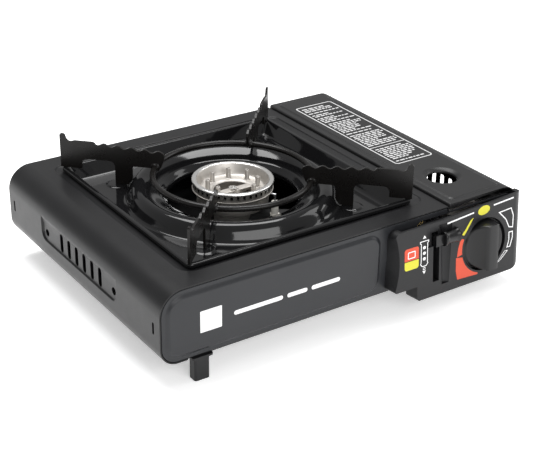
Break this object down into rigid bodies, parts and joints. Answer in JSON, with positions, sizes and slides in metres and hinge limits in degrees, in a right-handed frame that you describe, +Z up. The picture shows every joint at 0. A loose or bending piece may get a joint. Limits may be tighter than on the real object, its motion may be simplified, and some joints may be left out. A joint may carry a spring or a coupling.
{
  "type": "portable gas stove",
  "caption": "Low black steel case on four feet with a round burner in a square enamel tray under a four-fin pan support, a knob and lock lever in front, and a cartridge bay under a hinged lid",
  "frame": {"origin": "on the ground under the centre of the stove's outer box", "axes": "X along the width towards the cartridge bay, Y from the controls to the back, Z up"},
  "size_m": [0.343, 0.2826, 0.114],
  "materials": {
    "body_steel": "fine textured satin black powder coat",
    "front_steel": "satin dark grey powder coat",
    "enamel": "glossy black vitreous enamel",
    "support_enamel": "satin black enamel",
    "cast_aluminium": "die cast, slightly matt",
    "zinc_steel": "zinc plated",
    "brass": "turned",
    "black_plastic": "moulded, satin",
    "black_rubber": "matt",
    "ivory_plastic": "moulded",
    "red_plastic": "moulded",
    "insulator": "fired, matt"
  },
  "bodies": {
    "stove": {"casing": "body_steel", "front_panel": "front_steel", "rear_panel": "body_steel", "base_pan": "body_steel", "bay_shell": "body_steel", "partition_wall": "zinc_steel", "foot_front_left": "front_steel", "foot_front_right": "front_steel", "foot_rear_left": "front_steel", "foot_rear_right": "front_steel", "foot_screws": "zinc_steel", "control_panel": "black_plastic", "panel_screws": "zinc_steel", "burner_head": "cast_aluminium", "burner_base": "cast_aluminium", "burner_screw": "zinc_steel", "burner_bracket": "zinc_steel", "mixing_tube": "zinc_steel", "gas_jet": "brass", "regulator_body": "cast_aluminium", "regulator_cap": "cast_aluminium", "regulator_screws": "zinc_steel", "diaphragm": "black_rubber", "regulator_spring": "zinc_steel", "valve_socket": "brass", "socket_seal": "black_rubber", "piezo_igniter": "ivory_plastic", "ignition_electrode": "zinc_steel", "electrode_insulator": "insulator", "ignition_lead": "ivory_plastic", "cartridge_cradles": "zinc_steel", "hinge_pins": "zinc_steel"},
    "knob": {"control_knob": "black_plastic", "valve_stem": "brass"},
    "plunger": {"piezo_plunger": "red_plastic"},
    "lock_lever": {"lock_lever": "black_plastic"},
    "pusher": {"cartridge_pusher": "zinc_steel"},
    "lid": {"lid": "body_steel"},
    "tray": {"drip_tray": "enamel"},
    "pan_support": {"support_ring": "support_enamel", "fin_rear_left": "support_enamel", "fin_front_left": "support_enamel", "fin_front_right": "support_enamel", "fin_rear_right": "support_enamel"}
  },
  "joints": [
    {"name": "knob_turn", "type": "hinge", "parent": "stove", "child": "knob", "pos_m": [0.1285, -0.12851, 0.0444], "axis": [0, -0.9962, 0.0872], "range_deg": [0, 135]},
    {"name": "plunger_slide", "type": "slide", "parent": "stove", "child": "plunger", "axis": [-1, 0, 0], "range_m": [0, 0.0055]},
    {"name": "lever_slide", "type": "slide", "parent": "stove", "child": "lock_lever", "axis": [0, -0.0872, -0.9962], "range_m": [0, 0.03]},
    {"name": "pusher_slide", "type": "slide", "parent": "stove", "child": "pusher", "axis": [0, -1, 0], "range_m": [0, 0.008]},
    {"name": "lid_hinge", "type": "hinge", "parent": "stove", "child": "lid", "pos_m": [0.1673, 0.01234, 0.065], "axis": [0, 1, 0], "range_deg": [0, 90]},
    {"name": "tray_lift", "type": "slide", "parent": "stove", "child": "tray", "axis": [0, 0, 1], "range_m": [0, 0.06]},
    {"name": "support_lift", "type": "slide", "parent": "tray", "child": "pan_support", "axis": [0, 0, 1], "range_m": [0, 0.08]}
  ],
  "couplings": [
    {"joint": "plunger_slide", "follows": "knob_turn", "m_per_rad": 0.0023343},
    {"joint": "pusher_slide", "follows": "lever_slide", "ratio": 0.26667}
  ]
}
